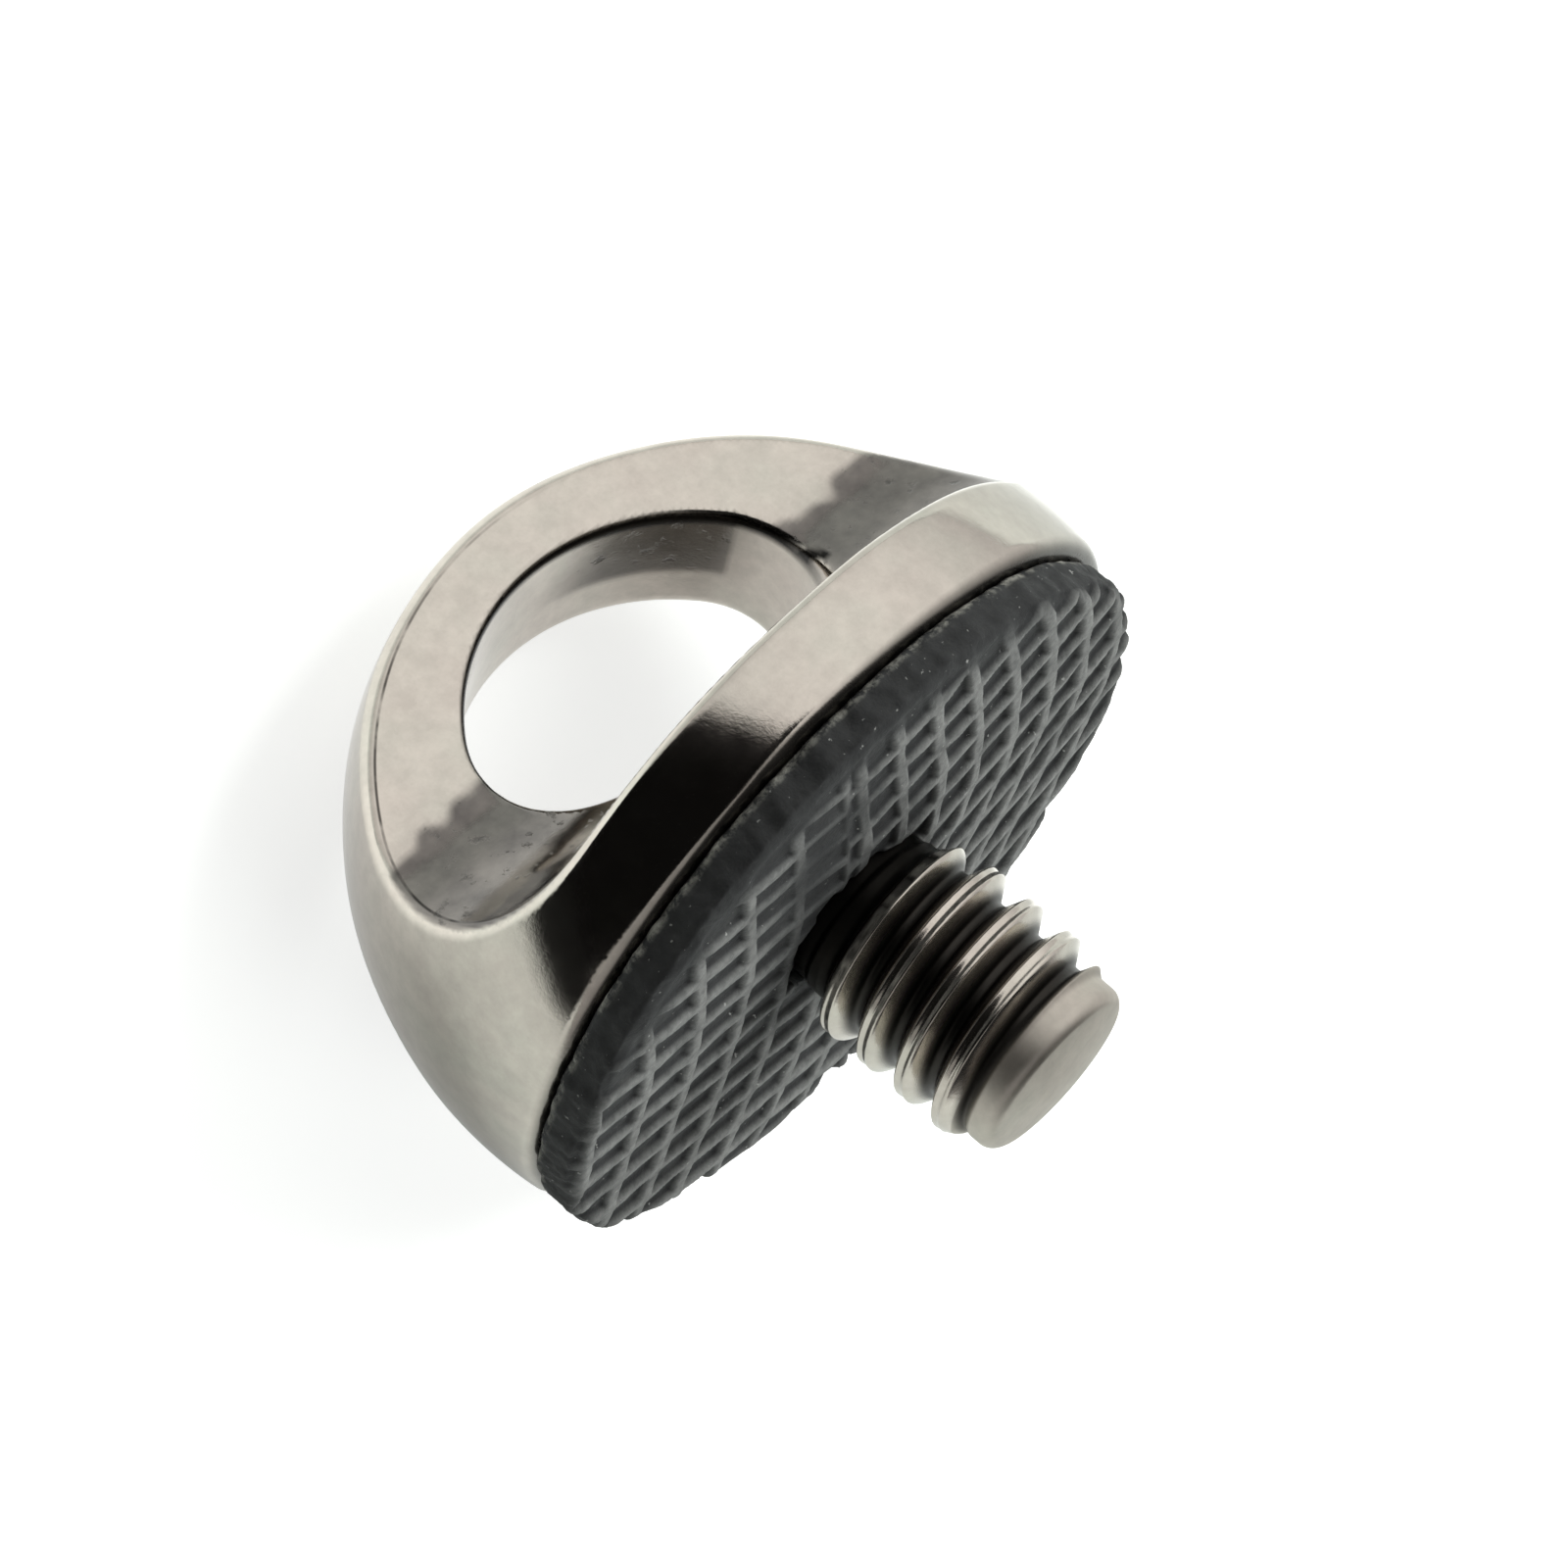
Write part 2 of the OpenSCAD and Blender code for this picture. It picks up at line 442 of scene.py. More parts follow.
class PlatedMetal(Finish):
    """Dark nickel plating over a polished casting, with pits, smears and a casting crack, and with
    painted shade in the hollows, the thread and the washer gap and painted dark reflections along the
    edges.

    Attributes:
        name: The material's name.
        tints: The colours that the plating drifts between, each with its place on the ramp.
        painted_shade_and_smudge: Colour of the painted shade in the hollows beside the plate and on
            the eye's wall.
        pit: Colour of the pits and smears.
        crack_and_painted_shade: Colour of the casting crack, of the painted shade in the thread and
            beside the washer, and of the painted dark reflections along the eye's near edge and the
            plate's edge.
        polish: The lowest and the highest roughness of clean plating.
        ball_mid_h: Height of the ball's centre above the seat in mm.
        line_r: Distance of the plate's painted dark reflection line from that centre in mm.
        line_half: Half the width of the outline's core and of its soft edge in mm.
    """

    name = "dark_nickel_plating"
    tints = (
        (0.3, (0.60, 0.545, 0.49)),
        (0.5, (0.615, 0.57, 0.51)),
        (0.7, (0.59, 0.565, 0.50)),
    )
    # painted shade: darkens the hollows beside the plate and the top of the eye's wall
    painted_shade_and_smudge = (0.125, 0.115, 0.11)
    pit = (0.10, 0.095, 0.09)
    # painted shade: darkens the thread's grooves and the washer gap, draws the painted dark
    # reflections along the edges and the casting crack
    crack_and_painted_shade = (0.012, 0.011, 0.010)
    polish = (0.07, 0.13)
    ball_mid_h = 1.9
    line_r = 10.58
    line_half = (0.015, 0.05)

    def build(self) -> None:
        """Adds the nodes of the plating."""
        hollow = self.attribute("hollow")
        pits = self.spread(self.noise(1.9, 5.0, 0.65), 0.60, 0.70, 0.0, 1.0)
        pits = self.sums.maths("MULTIPLY", pits, self.spread(hollow, 0.2, 0.9, 0.03, 0.8))
        # one dark mask of painted shade, painted dark reflection lines and the casting crack
        painted_shade_and_crack = self.sums.maths("MAXIMUM", self.attribute("painted_shade_and_crack"), self.plate_line())
        self.colour(hollow, pits, painted_shade_and_crack)
        self.roughness(pits, painted_shade_and_crack)
        ripple = self.bump(self.noise(0.8, 2.0, 0.5), 0.008)
        grain = self.bump(self.noise(9.0, 4.0, 0.7), 0.0022, ripple)
        dents = self.bump(self.sums.maths("MULTIPLY", pits, -1.0), 0.012, grain)
        self.tree.links.new(dents, self.shader.inputs["Normal"])

    def colour(
        self, hollow: bpy.types.NodeSocket, pits: bpy.types.NodeSocket, painted_shade_and_crack: bpy.types.NodeSocket
    ) -> None:
        """Adds the colour: drifting tints, painted shade in the hollows, pits, the crack, and painted
        shade and dark reflections elsewhere.

        Args:
            hollow: How much painted shade a place gets in the hollows and on the eye's wall.
            pits: Where the pits are.
            painted_shade_and_crack: Where the painted shade, the painted dark reflections and the
                crack are.
        """
        mottle = self.spread(self.noise(1.6, 6.0, 0.7), 0.35, 0.65, 0.90, 1.04)
        shade = self.tree.nodes.new("ShaderNodeVectorMath")
        shade.operation = "SCALE"
        self.tree.links.new(self.ramp(self.noise(0.35, 3.0), self.tints), shade.inputs[0])
        self.tree.links.new(mottle, shade.inputs["Scale"])
        cloudy = self.spread(self.noise(0.7, 4.0, 0.6), 0.3, 0.7, 0.75, 1.0)
        # painted shade in the hollows and on the eye's wall, made cloudy
        painted_shade_and_oil = self.sums.maths("MULTIPLY", hollow, cloudy)
        colour = self.blend(painted_shade_and_oil, shade.outputs[0], self.painted_shade_and_smudge)
        colour = self.blend(pits, colour, self.pit)
        # painted shade, painted dark reflections and the casting crack
        colour = self.blend(painted_shade_and_crack, colour, self.crack_and_painted_shade)
        self.tree.links.new(colour, self.shader.inputs["Base Color"])
        self.shader.inputs["Metallic"].default_value = 1.0

    def roughness(self, pits: bpy.types.NodeSocket, painted_shade_and_crack: bpy.types.NodeSocket) -> None:
        """Adds the roughness: polished plating, duller in pits, in the painted shade and the crack,
        and on the stud's end.

        Args:
            pits: Where the pits are.
            painted_shade_and_crack: Where the painted shade, the painted dark reflections and the
                crack are.
        """
        rough = self.spread(self.noise(1.1, 5.0, 0.6), 0.3, 0.7, *self.polish)
        for place, duller in ((pits, 0.2), (self.attribute("matt"), 0.25), (painted_shade_and_crack, 0.2)):
            rough = self.sums.maths("ADD", rough, self.sums.maths("MULTIPLY", place, duller))
        self.tree.links.new(rough, self.shader.inputs["Roughness"])

    def plate_line(self) -> bpy.types.NodeSocket:
        """Paints the thin dark reflection line just inside the outer edge of the eye plate.

        Returns:
            The socket of its strength, from 0 to 1.
        """
        lying = lying_matrix()
        middle = lying @ Vector((0.0, 0.0, self.ball_mid_h))
        offset = self.tree.nodes.new("ShaderNodeVectorMath")
        offset.operation = "SUBTRACT"
        self.tree.links.new(self.where, offset.inputs[0])
        offset.inputs[1].default_value = middle
        size = self.tree.nodes.new("ShaderNodeVectorMath")
        size.operation = "LENGTH"
        self.tree.links.new(offset.outputs[0], size.inputs[0])
        away = self.sums.maths("SUBTRACT", size.outputs["Value"], self.line_r * MM)
        away = self.sums.maths("ABSOLUTE", away, 0.0)
        core, edge = (half * MM for half in self.line_half)
        # painted dark reflection: a thin ring round the ball's centre
        line = self.spread(away, core, edge, 1.0, 0.0)
        limits = (
            ((0.0, 1.0, 0.0), -2.1, -2.2, 1.0),
            ((1.0, 0.0, 0.0), 3.0, -5.0, 0.85),
        )
        for axis, none_at, full_at, full in limits:
            turned = (lying.to_3x3() @ Vector(axis)).normalized()
            where = self.sums.along(offset.outputs[0], tuple(turned))
            part = self.spread(where, none_at * MM, full_at * MM, 0.0, full)
            line = self.sums.maths("MULTIPLY", line, part)
        broken = self.spread(self.noise(0.9, 3.0), 0.35, 0.55, 0.35, 1.0)
        return self.sums.maths("MULTIPLY", line, broken)


class GripRubber(Finish):
    """Charcoal rubber with a painted highlight on the ridge tops, painted shade on the side wall, an
    oily smudge with painted shadow round the stud, dust and a frayed edge.

    Attributes:
        name: The material's name.
        charcoals: The colours of the rubber, each with its place on the ramp.
        painted_ridge_highlight: Colour of the painted highlight on the ridges' tops.
        painted_shade_and_oil: Colour of the painted shade on the side wall and of the oily smudge
            round the stud, which is darkened further as painted shadow.
        torn: Colour of the frayed edge beside the metal.
        speck: Colour of the dust.
        gloss: Strength of the rubber's sheen.
    """

    name = "grip_rubber"
    charcoals = (
        (0.25, (0.018, 0.019, 0.0195)),
        (0.6, (0.031, 0.033, 0.033)),
        (0.8, (0.052, 0.054, 0.052)),
    )
    painted_ridge_highlight = (0.165, 0.171, 0.164)
    painted_shade_and_oil = (0.013, 0.0135, 0.0135)
    torn = (0.40, 0.40, 0.35)
    speck = (0.36, 0.37, 0.35)
    gloss = 0.35

    def build(self) -> None:
        """Adds the nodes of the rubber."""
        broken = self.spread(self.noise(3.5, 4.0, 0.7), 0.3, 0.6, 0.45, 1.0)
        # painted highlight: the ridges' tops are painted paler, as if lit
        top = self.spread(self.attribute("ridge"), 0.25, 0.95, 0.0, 1.0)
        top = self.sums.maths("MULTIPLY", top, broken)
        colour = self.blend(top, self.ramp(self.noise(0.9, 5.0, 0.65), self.charcoals), self.painted_ridge_highlight)
        # painted shade on the side wall, and painted shadow over an oily smudge round the stud
        colour = self.blend(self.attribute("dark"), colour, self.painted_shade_and_oil)
        frayed = self.spread(self.noise(2.2, 5.0, 0.7), 0.45, 0.66, 0.0, 0.85)
        frayed = self.sums.maths("MULTIPLY", self.attribute("edge"), frayed)
        colour = self.blend(frayed, colour, self.torn)
        dust = self.spread(self.noise(5.0, 2.0, 0.6), 0.70, 0.76, 0.0, 0.6)
        colour = self.blend(dust, colour, self.speck)
        links = self.tree.links
        links.new(colour, self.shader.inputs["Base Color"])
        rough = self.spread(self.noise(2.0, 4.0, 0.6), 0.3, 0.7, 0.6, 0.8)
        links.new(rough, self.shader.inputs["Roughness"])
        self.shader.inputs["Specular IOR Level"].default_value = self.gloss
        coarse = self.bump(self.noise(2.2, 5.0, 0.65), 0.05)
        fine = self.bump(self.noise(12.0, 3.0, 0.7), 0.014, coarse)
        links.new(fine, self.shader.inputs["Normal"])


def round_cut(a: np.ndarray, b: np.ndarray, radius: "float | np.ndarray") -> np.ndarray:
    """Joins two distance fields as an intersection with a rounded edge.

    Args:
        a: The first field, negative inside.
        b: The second field, negative inside.
        radius: The radius of the edge.

    Returns:
        The joined field.
    """
    outer = np.hypot(np.maximum(a + radius, 0.0), np.maximum(b + radius, 0.0))
    return np.minimum(np.maximum(a, b), -radius) + outer


@dataclass
class CastHead:
    """The ball-shaped head with its eye plate and its rim.

    Attributes:
        body_r: Radius of the ball.
        body_mid_h: Height of its centre.
        rim_h: Height of the rim.
        plate_t: Thickness of the eye plate.
        hollow_r: Radius between the plate and the rim.
        eye_r: Radius of the eye's arch.
        eye_mid_h: Height of the arch's centre.
        corner_x: Distance of a lower corner's centre from the middle.
        corner_h: Height of a lower corner's centre.
        seat_edge: Radius of the edge round the seat.
        cut_edge: Radius of the edges of the plate and of the rim.
        near_eye_edge: Radius of the eye's edge on the side with the crack.
        far_eye_edge: Radius of the eye's edge on the other side.
        cell: Size of a mesh cell.
        skin: What polishing took off the ball.
        ball_sway: How far the ball's surface wanders.
        face_sway: How far the cut faces wander.
        dimple: Depth of the small dents in the cut faces.
        crack: The casting crack's corners, along the plate and up.
        sweep: The slow waves of the surfaces.
        dimples: The small dents.
    """

    body_r: float = 10.9
    body_mid_h: float = 1.9
    rim_h: float = 2.6
    plate_t: float = 4.5
    hollow_r: float = 5.3
    eye_r: float = 6.3
    eye_mid_h: float = 4.3
    corner_x: float = 2.6
    corner_h: float = 6.5
    seat_edge: float = 0.42
    cut_edge: float = 0.32
    near_eye_edge: float = 0.26
    far_eye_edge: float = 0.55
    cell: float = 0.14
    skin: float = 0.02
    ball_sway: float = 0.018
    face_sway: float = 0.012
    dimple: float = 0.004
    crack: tuple[tuple[float, float], ...] = ((5.05, 8.1), (5.45, 7.1), (5.4, 6.3), (5.6, 5.6))
    sweep: WaveNoise = field(default_factory=lambda: WaveNoise(7.0, seed=3))
    dimples: WaveNoise = field(default_factory=lambda: WaveNoise(1.6, count=40, seed=5))

    def eye_field(self, p: np.ndarray) -> np.ndarray:
        """Gives the distance to the eye's outline, negative inside the eye.

        Args:
            p: Positions in mm.

        Returns:
            One distance for each position.
        """
        x = np.abs(p[:, 0])
        z = p[:, 2]
        reach = math.hypot(self.corner_x, self.corner_h - self.eye_mid_h)
        corner_r = self.eye_r - reach
        arch = np.hypot(x, z - self.eye_mid_h) - self.eye_r
        dx = x - self.corner_x
        dz = z - self.corner_h
        corner = np.hypot(dx, dz) - corner_r
        flat = self.corner_h - corner_r - z
        above = self.corner_x * dz - (self.corner_h - self.eye_mid_h) * dx > 0.0
        return np.where(above, arch, np.where(x > self.corner_x, corner, flat))

    def side_field(self, p: np.ndarray) -> np.ndarray:
        """Gives the distance to the space cut away beside the plate, negative in the metal.

        Args:
            p: Positions in mm.

        Returns:
            One distance for each position.
        """
        a = self.plate_t / 2 + self.hollow_r - np.abs(p[:, 1])
        b = self.rim_h + self.hollow_r - p[:, 2]
        outside = np.hypot(np.maximum(a, 0.0), np.maximum(b, 0.0))
        inside = np.minimum(np.maximum(a, b), 0.0)
        return self.hollow_r - (outside + inside)

    def crack_field(self, p: np.ndarray) -> np.ndarray:
        """Gives the distance to the casting crack beside the eye, seen across the plate.

        Args:
            p: Positions in mm.

        Returns:
            One distance for each position.
        """
        at = p[:, [0, 2]]
        out = np.full(len(p), 99.0)
        for start, end in zip(self.crack[:-1], self.crack[1:]):
            a, b = np.array(start), np.array(end)
            t = np.clip((at - a) @ (b - a) / ((b - a) @ (b - a)), 0.0, 1.0)
            out = np.minimum(out, np.linalg.norm(at - a - t[:, None] * (b - a), axis=1))
        return out

    def form(self, p: np.ndarray) -> np.ndarray:
        """Gives the distance to the head's surface, negative inside.

        Args:
            p: Positions in mm.

        Returns:
            One distance for each position.
        """
        ball = np.linalg.norm(p - np.array([0.0, 0.0, self.body_mid_h]), axis=1) - self.body_r
        ball = ball + self.skin + self.ball_sway * self.sweep.at(p)
        metal = round_cut(ball, -p[:, 2], self.seat_edge)
        side = self.side_field(p) + self.face_sway * self.sweep.at(p + 5.0)
        side = side + self.dimple * self.dimples.at(p)
        metal = round_cut(metal, side, self.cut_edge)
        eye = -self.eye_field(p) + self.face_sway * self.sweep.at(p - 9.0)
        far = smooth_step(p[:, 1], -0.8, 0.8)
        edge = self.near_eye_edge * (1.0 - far) + self.far_eye_edge * far
        return round_cut(metal, eye, edge)

    def slope(self, p: np.ndarray) -> np.ndarray:
        """Gives the outward direction of the form.

        Args:
            p: Positions in mm.

        Returns:
            One vector for each position.
        """
        step = 0.004
        out = np.empty_like(p)
        for axis in range(3):
            shift = np.zeros(3)
            shift[axis] = step
            out[:, axis] = (self.form(p + shift) - self.form(p - shift)) / (2 * step)
        return out

    def cutter(self, outline: Sequence[tuple[float, float]], along_x: bool) -> bpy.types.Object:
        """Makes a straight cutting tool from an outline.

        Args:
            outline: Corners across the tool, the second value being the height.
            along_x: True for a tool along the plate, False for one through it.

        Returns:
            The tool, to be subtracted from the head.
        """
        reach = self.body_r + 1.0
        corners = [
            (-reach, across, h) if along_x else (across, -reach, h) for across, h in outline
        ]
        mesh = bpy.data.meshes.new("cutter")
        mesh.from_pydata(corners, [], [tuple(range(len(corners)))])
        tool = bpy.data.objects.new("cutter", mesh)
        bpy.context.scene.collection.objects.link(tool)
        select_only(tool)
        bpy.ops.object.mode_set(mode="EDIT")
        bpy.ops.mesh.select_all(action="SELECT")
        move = (2 * reach, 0.0, 0.0) if along_x else (0.0, 2 * reach, 0.0)
        bpy.ops.mesh.extrude_region_move(TRANSFORM_OT_translate={"value": move})
        bpy.ops.mesh.select_all(action="SELECT")
        bpy.ops.mesh.normals_make_consistent(inside=False)
        bpy.ops.object.mode_set(mode="OBJECT")
        return tool

    def side_outline(self, side: int) -> list[tuple[float, float]]:
        """Gives the corners of the space beside the plate.

        Args:
            side: 1 or -1.

        Returns:
            Pairs of a distance across the plate and a height.
        """
        mid_y = self.plate_t / 2 + self.hollow_r
        mid_h = self.rim_h + self.hollow_r
        top = self.body_mid_h + self.body_r + 1.0
        far = self.body_r + 1.0
        arc = [
            (mid_y - self.hollow_r * math.cos(t), mid_h - self.hollow_r * math.sin(t))
            for t in np.linspace(0.0, math.pi / 2, 24)
        ]
        points = [(self.plate_t / 2, top), *arc, (far, self.rim_h), (far, top)]
        return [(side * y, h) for y, h in points]

    def eye_outline(self) -> list[tuple[float, float]]:
        """Gives points round the eye.

        Returns:
            Pairs of a distance along the plate and a height.
        """
        middle = (0.0, self.eye_mid_h + 1.5)
        out = []
        for t in np.linspace(0.0, 2 * math.pi, 120, endpoint=False):
            low, high = 0.0, 10.0
            for _ in range(40):
                mid = (low + high) / 2
                at = np.array([[middle[0] + mid * math.cos(t), 0.0, middle[1] + mid * math.sin(t)]])
                if self.eye_field(at)[0] < 0.0:
                    low = mid
                else:
                    high = mid
            out.append((middle[0] + low * math.cos(t), middle[1] + low * math.sin(t)))
        return out

    def build(self, finish: Finish) -> bpy.types.Object:
        """Models the head.

        Args:
            finish: Its material.

        Returns:
            The finished head in the upright millimetre frame.
        """
        bpy.ops.mesh.primitive_uv_sphere_add(
            segments=96, ring_count=64, radius=self.body_r, location=(0.0, 0.0, self.body_mid_h)
        )
        head = bpy.context.active_object
        head.name = "cast_head"
        bpy.ops.object.transform_apply(location=True, rotation=True, scale=True)
        bpy.ops.object.mode_set(mode="EDIT")
        bpy.ops.mesh.select_all(action="SELECT")
        bpy.ops.mesh.bisect(
            plane_co=(0.0, 0.0, 0.0), plane_no=(0.0, 0.0, 1.0), use_fill=True, clear_inner=True
        )
        bpy.ops.object.mode_set(mode="OBJECT")
        tools = [
            self.cutter(self.side_outline(1), True),
            self.cutter(self.side_outline(-1), True),
            self.cutter(self.eye_outline(), False),
        ]
        select_only(head)
        for tool in tools:
            cut = head.modifiers.new("cut", "BOOLEAN")
            cut.operation = "DIFFERENCE"
            cut.solver = "EXACT"
            cut.object = tool
            bpy.ops.object.modifier_apply(modifier=cut.name)
            bpy.data.objects.remove(tool)
        even = head.modifiers.new("even", "REMESH")
        even.mode = "VOXEL"
        even.voxel_size = self.cell
        bpy.ops.object.modifier_apply(modifier=even.name)
        self.settle(head)
        head.data.materials.append(finish.material)
        return head

    def settle(self, head: bpy.types.Object) -> None:
        """Moves the vertices onto the rounded form and stores its normals, the crack and the painted
        shade.

        Args:
            head: The head with an even mesh.
        """
        p = coords_of(head)
        for _ in range(8):
            g = self.slope(p)
            steep = np.maximum((g * g).sum(axis=1), 0.25)
            p = p - np.clip(self.form(p) / steep, -0.1, 0.1)[:, None] * g
        write_coords(head, p)
        bpy.ops.object.shade_smooth()
        g = self.slope(p)
        g /= np.linalg.norm(g, axis=1)[:, None]
        head.data.normals_split_custom_set_from_vertices(g.tolist())
        # painted shade along the top of the eye's wall
        band = self.wall_band(p)
        write_attribute(head, "painted_shade_and_crack", self.crack_and_painted_shade(p, g, band))
        # painted shade in the hollows beside the plate and on the eye's wall
        write_attribute(head, "hollow", np.clip(self.hollow_painted_shade(p) + band, 0.0, 1.0))
        write_attribute(head, "matt", np.zeros(len(p)))

    def off_wall(self, p: np.ndarray) -> np.ndarray:
        """Gives 0 on the eye's wall and 1 elsewhere.

        Args:
            p: Positions in mm.

        Returns:
            One value for each position.
        """
        return smooth_step(self.eye_field(p), -0.05, 0.06)

    def wall_band(self, p: np.ndarray) -> np.ndarray:
        """Gives the painted shade band along the top of the eye's wall, which ends sharply on one
        side.

        Args:
            p: Positions in mm.

        Returns:
            One value from 0 to 1 for each position.
        """
        along = smooth_step(p[:, 0], 0.2, 2.8) * (1.0 - smooth_step(p[:, 0], 5.0, 5.12))
        through = 1.0 - smooth_step(p[:, 1], 0.2, 0.6)
        return (1.0 - self.off_wall(p)) * along * through * smooth_step(p[:, 2], 7.0, 7.5)

    def crack_and_painted_shade(self, p: np.ndarray, normals: np.ndarray, band: np.ndarray) -> np.ndarray:
        """Gives the painted shade beside the washer, the painted dark reflection along the eye's near
        edge, the crack, and half of the wall's painted shade band.

        Args:
            p: Positions in mm.
            normals: The outward directions there.
            band: The painted shade band on the eye's wall.

        Returns:
            One value from 0 to 1 for each position.
        """
        depth = -p[:, 1]
        # painted shade in the gap between the metal and the washer
        near_washer = 1.0 - smooth_step(p[:, 2], 0.0, 0.35)
        rounded = 1.0 - np.abs(normals[:, 1])
        # painted dark reflection along the eye's near edge
        line = smooth_step(depth, 1.75, 2.0) * (1.0 - smooth_step(depth, 2.3, 2.6))
        line = line * smooth_step(rounded, 0.06, 0.3)
        line = line * (1.0 - smooth_step(self.eye_field(p), 0.3, 0.45))
        line = line * smooth_step(p[:, 2], 4.0, 7.0)
        crack = (1.0 - smooth_step(self.crack_field(p), 0.07, 0.2)) * smooth_step(depth, 1.95, 2.1)
        return np.clip(0.9 * near_washer + np.maximum(line, crack) + 0.5 * band, 0.0, 1.0)

    def hollow_painted_shade(self, p: np.ndarray) -> np.ndarray:
        """Gives the painted shade at the bottom of the hollows beside the plate.

        Args:
            p: Positions in mm.

        Returns:
            One value from 0 to 1 for each position.
        """
        level = self.rim_h + self.hollow_r
        uneven = p[:, 2] + 0.22 * self.dimples.at(p)
        deep = 1.0 - smooth_step(uneven, level - 1.1, level - 0.7)
        deep = deep * smooth_step(p[:, 2], self.rim_h - 0.2, self.rim_h + 0.3)
        on_side = 1.0 - smooth_step(np.abs(self.side_field(p)), 0.04, 0.12)
        return on_side * deep * self.off_wall(p)


@dataclass
class Stud:
    """The threaded stud of the head.

    Attributes:
        thread_r: Radius over the crests.
        root_r: Radius at the bottom of the thread.
        neck_r: Radius beside the washer.
        tip_r: Radius of the smooth end.
        tip_edge: Radius of the end's edge.
        end_gap: How far the rounded edge ends before the dome.
        dome: How far the end bulges.
        length: Length below the seat.
        pitch: Distance between two turns.
        crest_angle: Angle of a crest at the height crest_h, in degrees.
        crest_h: Height of that crest.
        crest_half: Half the width of a crest's flat.
        crest_dip: Depth of the rolled groove along a crest.
        dip_half: Half the width of that groove.
        flank: Angle of a flank from the square section, in degrees.
        root_round: Softness of the thread's bottom.
        crest_round: Softness of the crests' edges.
        sunk: Depths between which the neck widens to the thread's bottom.
        start: Depths between which the thread grows to its full height.
        taper: Where the thread's taper starts before the end, and its length.
        tip_from: Where the smooth end starts and is complete, before the end.
        edge_turn: How far the end's edge turns, in degrees.
        matt_len: Length of the duller end.
        steps: How many steps go round the stud.
        row_h: Distance between two rings of the mesh.
    """

    thread_r: float = 3.0
    root_r: float = 2.38
    neck_r: float = 2.3
    tip_r: float = 2.58
    tip_edge: float = 0.4
    end_gap: float = 0.12
    dome: float = 0.22
    length: float = 8.1
    pitch: float = 1.27
    crest_angle: float = -29.5
    crest_h: float = -5.95
    crest_half: float = 0.16
    crest_dip: float = 0.03
    dip_half: float = 0.09
    flank: float = 30.0
    root_round: float = 0.06
    crest_round: float = 0.05
    sunk: tuple[float, float] = (1.42, 1.6)
    start: tuple[float, float] = (1.75, 2.6)
    taper: tuple[float, float] = (1.55, 0.75)
    tip_from: tuple[float, float] = (1.2, 0.8)
    edge_turn: float = 78.0
    matt_len: float = 1.25
    steps: int = 288
    row_h: float = 0.03

    def rows(self) -> list[float]:
        """Gives the heights of the rings, from the seat to the rounded end."""
        last = self.length - self.end_gap - self.tip_edge
        return list(np.linspace(0.3, -last, int(last / self.row_h)))

    def thread(self, angle: np.ndarray, h: np.ndarray) -> np.ndarray:
        """Gives the height of the thread over its bottom, from 0 to 1.

        Args:
            angle: Angle round the stud in radians.
            h: Height.

        Returns:
            One value for each pair.
        """
        rise = (h - self.crest_h) / self.pitch
        turns = rise - (angle - math.radians(self.crest_angle)) / (2 * math.pi)
        off = np.abs(turns - np.round(turns)) * self.pitch
        depth = self.thread_r - self.root_r
        fall = np.maximum(off - self.crest_half, 0.0) / math.tan(math.radians(self.flank))
        height = depth - fall
        height = 0.5 * (height + np.sqrt(height * height + self.root_round**2))
        over = depth - height
        over = 0.5 * (over + np.sqrt(over * over + self.crest_round**2))
        dip = self.crest_dip * np.exp(-((off / self.dip_half) ** 2))
        return (depth - over - dip) / depth

    def build(self, finish: Finish) -> bpy.types.Object:
        """Models the stud.

        Args:
            finish: Its material.

        Returns:
            The finished stud in the upright millimetre frame.
        """
        stud = spun("stud", self.section(), self.steps)
        p = coords_of(stud)
        r = np.hypot(p[:, 0], p[:, 1])
        angle = np.arctan2(p[:, 1], p[:, 0])
        h = p[:, 2]
        rows = self.rows()
        wall = (h < rows[0] - 0.001) & (h > rows[-1] - 1e-6) & (r > self.neck_r - 0.01)
        tip_join = smooth_step(-h, *(self.length - at for at in self.tip_from))
        new_r = np.where(wall, self.turned_radius(angle, h, tip_join), r)
        scale = np.where(r > 1e-6, new_r / np.maximum(r, 1e-6), 1.0)
        p[:, 0] *= scale
        p[:, 1] *= scale
        write_coords(stud, p)
        select_only(stud)
        bpy.ops.object.shade_smooth()
        depth = np.clip((self.thread_r - new_r) / (self.thread_r - self.root_r), 0.0, 1.0)
        # painted shade in the thread's grooves
        painted_shade_and_crack = np.where(wall, 0.96 * smooth_step(depth, 0.3, 0.85) * (1.0 - tip_join), 0.0)
        write_attribute(stud, "painted_shade_and_crack", painted_shade_and_crack)
        write_attribute(stud, "hollow", np.zeros(len(p)))
        write_attribute(stud, "matt", np.where(h < -self.length + self.matt_len, 1.6, 0.3))
        stud.data.materials.append(finish.material)
        return stud

